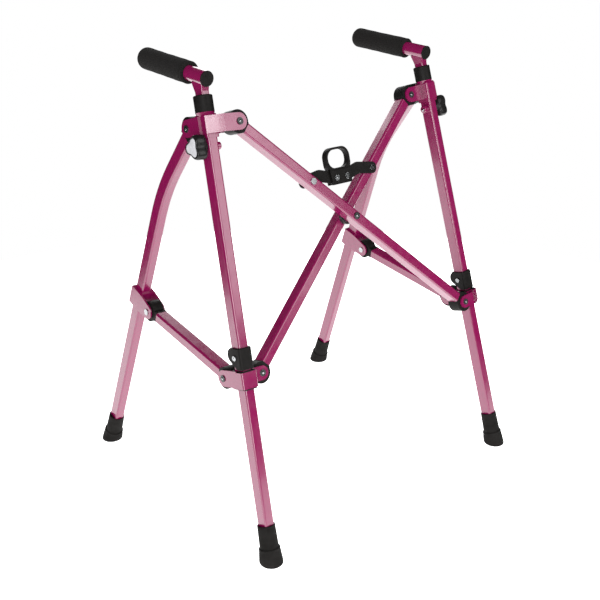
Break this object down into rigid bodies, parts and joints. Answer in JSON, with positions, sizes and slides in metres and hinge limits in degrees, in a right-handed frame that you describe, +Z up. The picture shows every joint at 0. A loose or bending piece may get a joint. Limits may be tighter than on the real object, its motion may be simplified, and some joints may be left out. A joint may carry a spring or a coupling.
{
  "type": "folding walking frame",
  "caption": "Folding walking frame with foam-gripped height-adjustable handles, a front X brace with a pull ring, hinged rear legs and rubber feet.",
  "frame": {"origin": "on the floor, at the middle of the four feet", "axes": "+X from the left side to the right side, +Y from the front legs to the rear legs, +Z up"},
  "size_m": [0.6152, 0.5522, 0.7673],
  "materials": {
    "frame_paint": "glossy magenta enamel",
    "black_plastic": "fine moulded texture",
    "foot_rubber": "matt",
    "foam": "open-skin foam",
    "chrome_rivet": "polished",
    "dark_steel": "blackened",
    "white_inlay": "gloss"
  },
  "bodies": {
    "left_front_leg": {"left_front_leg": "frame_paint", "left_top_bracket": "frame_paint", "left_top_collar": "black_plastic", "left_clamp_bolt": "frame_paint", "left_stop_collar": "black_plastic", "left_stop_collar_screw": "chrome_rivet", "left_front_foot": "foot_rubber", "left_top_pins": "dark_steel"},
    "left_handle": {"left_handle_post": "frame_paint", "left_handle_tube": "frame_paint", "left_handle_cap": "black_plastic", "left_handle_foam": "foam"},
    "left_knob": {"left_height_knob": "black_plastic", "left_knob_inlay": "white_inlay"},
    "left_rear_leg": {"left_rear_leg": "frame_paint", "left_rear_leg_eye": "black_plastic", "left_rear_leg_bracket": "frame_paint", "left_rear_leg_rivets": "chrome_rivet", "left_rear_foot": "foot_rubber"},
    "left_slider": {"left_slider_bracket": "frame_paint", "left_slider_bush": "black_plastic", "left_slider_pins": "dark_steel"},
    "left_spreader": {"left_spreader": "frame_paint", "left_spreader_eyes": "black_plastic"},
    "right_front_leg": {"right_front_leg": "frame_paint", "right_top_bracket": "frame_paint", "right_top_collar": "black_plastic", "right_clamp_bolt": "frame_paint", "right_stop_collar": "black_plastic", "right_stop_collar_screw": "chrome_rivet", "right_front_foot": "foot_rubber", "right_top_pins": "dark_steel"},
    "right_handle": {"right_handle_post": "frame_paint", "right_handle_tube": "frame_paint", "right_handle_cap": "black_plastic", "right_handle_foam": "foam"},
    "right_knob": {"right_height_knob": "black_plastic", "right_knob_inlay": "white_inlay"},
    "right_rear_leg": {"right_rear_leg": "frame_paint", "right_rear_leg_eye": "black_plastic", "right_rear_leg_bracket": "frame_paint", "right_rear_leg_rivets": "chrome_rivet", "right_rear_foot": "foot_rubber"},
    "right_slider": {"right_slider_bracket": "frame_paint", "right_slider_bush": "black_plastic", "right_slider_pins": "dark_steel"},
    "right_spreader": {"right_spreader": "frame_paint", "right_spreader_eyes": "black_plastic"},
    "front_bar": {"front_bar": "frame_paint", "front_bar_eyes": "black_plastic", "centre_pivot": "dark_steel", "left_link_rivet": "chrome_rivet"},
    "rear_bar": {"rear_bar": "frame_paint", "rear_bar_eyes": "black_plastic", "right_link_rivet": "chrome_rivet"},
    "left_link": {"left_link": "black_plastic"},
    "right_link": {"right_link": "black_plastic"},
    "pull_ring": {"pull_ring": "black_plastic", "ring_rivets": "chrome_rivet"}
  },
  "joints": [
    {"name": "fold", "type": "hinge", "parent": "left_front_leg", "child": "front_bar", "pos_m": [-0.20599, -0.06186, 0.66704], "axis": [0, 0.96, -0.28], "range_deg": [0, 38.82]},
    {"name": "brace_crossing", "type": "hinge", "parent": "front_bar", "child": "rear_bar", "pos_m": [0, -0.11323, 0.49089], "axis": [0, -0.96, 0.28], "range_deg": [0, 71.34]},
    {"name": "right_leg_fold", "type": "hinge", "parent": "rear_bar", "child": "right_front_leg", "pos_m": [0.20599, -0.06186, 0.66704], "axis": [0, 0.96, -0.28], "range_deg": [0, 38.87]},
    {"name": "left_slider_pivot", "type": "hinge", "parent": "rear_bar", "child": "left_slider", "pos_m": [-0.23304, -0.17136, 0.2916], "axis": [0, 0.96, -0.28], "range_deg": [0, 32.52]},
    {"name": "right_slider_pivot", "type": "hinge", "parent": "front_bar", "child": "right_slider", "pos_m": [0.23304, -0.17136, 0.2916], "axis": [0, -0.96, 0.28], "range_deg": [0, 32.52]},
    {"name": "left_rear_leg_fold", "type": "hinge", "parent": "left_front_leg", "child": "left_rear_leg", "pos_m": [-0.24591, -0.02854, 0.65983], "axis": [-0.9982, 0.0168, 0.0577], "range_deg": [0, 24.62]},
    {"name": "left_spreader_fold", "type": "hinge", "parent": "left_slider", "child": "left_spreader", "pos_m": [-0.26948, -0.13522, 0.28335], "axis": [0.9982, -0.0168, -0.0577], "range_deg": [0, 46.46]},
    {"name": "right_rear_leg_fold", "type": "hinge", "parent": "right_front_leg", "child": "right_rear_leg", "pos_m": [0.24591, -0.02854, 0.65983], "axis": [-0.9982, -0.0168, -0.0577], "range_deg": [0, 24.62]},
    {"name": "right_spreader_fold", "type": "hinge", "parent": "right_slider", "child": "right_spreader", "pos_m": [0.26948, -0.13522, 0.28335], "axis": [0.9982, 0.0168, 0.0577], "range_deg": [0, 46.46]},
    {"name": "left_link_fold", "type": "hinge", "parent": "front_bar", "child": "left_link", "pos_m": [-0.08057, -0.09314, 0.55979], "axis": [0, -0.96, 0.28], "range_deg": [0, 118.89]},
    {"name": "ring_level", "type": "hinge", "parent": "left_link", "child": "pull_ring", "pos_m": [-0.0115, -0.09426, 0.55595], "axis": [0, 0.96, -0.28], "range_deg": [0, 83.25]},
    {"name": "right_link_fold", "type": "hinge", "parent": "rear_bar", "child": "right_link", "pos_m": [0.08057, -0.09314, 0.55979], "axis": [0, 0.96, -0.28], "range_deg": [0, 118.89]},
    {"name": "left_handle_height", "type": "slide", "parent": "left_front_leg", "child": "left_handle", "axis": [0.0601, 0.2795, 0.9583], "range_m": [0, 0.1]},
    {"name": "left_knob_turn", "type": "hinge", "parent": "left_front_leg", "child": "left_knob", "pos_m": [-0.24781, -0.06999, 0.63916], "axis": [0.9982, -0.0168, -0.0577], "range_deg": [0, 360]},
    {"name": "right_handle_height", "type": "slide", "parent": "right_front_leg", "child": "right_handle", "axis": [-0.0601, 0.2795, 0.9583], "range_m": [0, 0.1]},
    {"name": "right_knob_turn", "type": "hinge", "parent": "right_front_leg", "child": "right_knob", "pos_m": [0.24781, -0.06999, 0.63916], "axis": [0.9982, 0.0168, 0.0577], "range_deg": [0, 360]}
  ],
  "couplings": [
    {"joint": "brace_crossing", "follows": "fold", "ratio": 1.8364},
    {"joint": "right_leg_fold", "follows": "fold", "ratio": 1},
    {"joint": "left_slider_pivot", "follows": "fold", "ratio": 0.83641},
    {"joint": "right_slider_pivot", "follows": "fold", "ratio": 0.83641},
    {"joint": "left_rear_leg_fold", "follows": "fold", "ratio": 0.63291},
    {"joint": "left_spreader_fold", "follows": "fold", "ratio": 1.1956},
    {"joint": "right_rear_leg_fold", "follows": "fold", "ratio": 0.63291},
    {"joint": "right_spreader_fold", "follows": "fold", "ratio": 1.1956},
    {"joint": "left_link_fold", "follows": "fold", "ratio": 3.0615},
    {"joint": "ring_level", "follows": "fold", "ratio": 2.1433},
    {"joint": "right_link_fold", "follows": "fold", "ratio": 3.0615}
  ]
}
